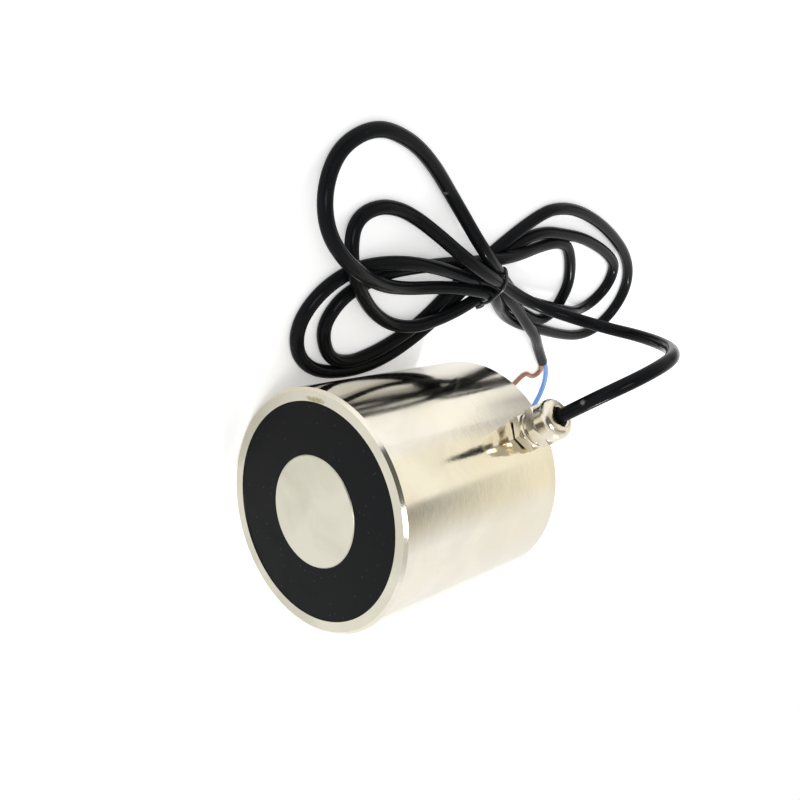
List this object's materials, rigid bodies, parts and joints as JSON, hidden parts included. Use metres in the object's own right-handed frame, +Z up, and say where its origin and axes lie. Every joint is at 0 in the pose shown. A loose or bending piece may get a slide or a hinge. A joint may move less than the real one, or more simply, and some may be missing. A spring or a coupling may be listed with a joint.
{
  "type": "lifting electromagnet",
  "caption": "Round pot electromagnet lying on its side: nickel-plated barrel, flat poles with black resin between, cable gland in the side, and its two-core lead tied in a loose hank.",
  "frame": {"origin": "middle of the holding face, on the pole face of the centre core", "axes": "+Y along the magnet's axis from the holding face to the tapped back, +Z up as it lies on its side"},
  "size_m": [0.1643, 0.2321, 0.0857],
  "materials": {
    "nickel_steel": "satin nickel plate over turned low-carbon steel",
    "nickel_brass": "bright nickel plate over turned brass",
    "black_epoxy": "smooth black potting resin, satin",
    "former_nylon": "moulded glass-filled nylon, natural",
    "enamelled_copper": "enamelled copper wire",
    "coil_tape": "amber polyester winding tape",
    "fibre": "red vulcanised fibre sheet",
    "black_rubber": "moulded black rubber",
    "claw_nylon": "moulded black nylon",
    "cord_pvc": "extruded black PVC, soft sheen",
    "core_brown_pvc": "extruded brown PVC",
    "core_blue_pvc": "extruded blue PVC",
    "bare_copper": "bare stranded copper",
    "sleeve": "black heat-shrink sleeve",
    "tie_black": "thin black plastic tie"
  },
  "bodies": {
    "root": {"pot_shell": "nickel_steel", "centre_core": "nickel_steel", "face_potting": "black_epoxy", "coil_former": "former_nylon", "coil_winding": "enamelled_copper", "winding_tape": "coil_tape", "fibre_washer": "fibre", "gland_gasket": "black_rubber", "gland_body": "nickel_brass", "gland_seal": "black_rubber", "gland_claw": "claw_nylon", "gland_cap": "nickel_brass", "inlet_sheath": "cord_pvc", "inner_core_brown": "core_brown_pvc", "inner_core_blue": "core_blue_pvc", "joint_sleeve_brown": "sleeve", "joint_sleeve_blue": "sleeve", "coil_end_start": "enamelled_copper", "coil_end_finish": "enamelled_copper", "lead_arch": "cord_pvc", "lead_hank": "cord_pvc", "lead_tail": "cord_pvc", "core_brown": "core_brown_pvc", "core_blue": "core_blue_pvc", "strand_brown": "bare_copper", "strand_blue": "bare_copper", "hank_tie": "tie_black"}
  },
  "joints": []
}
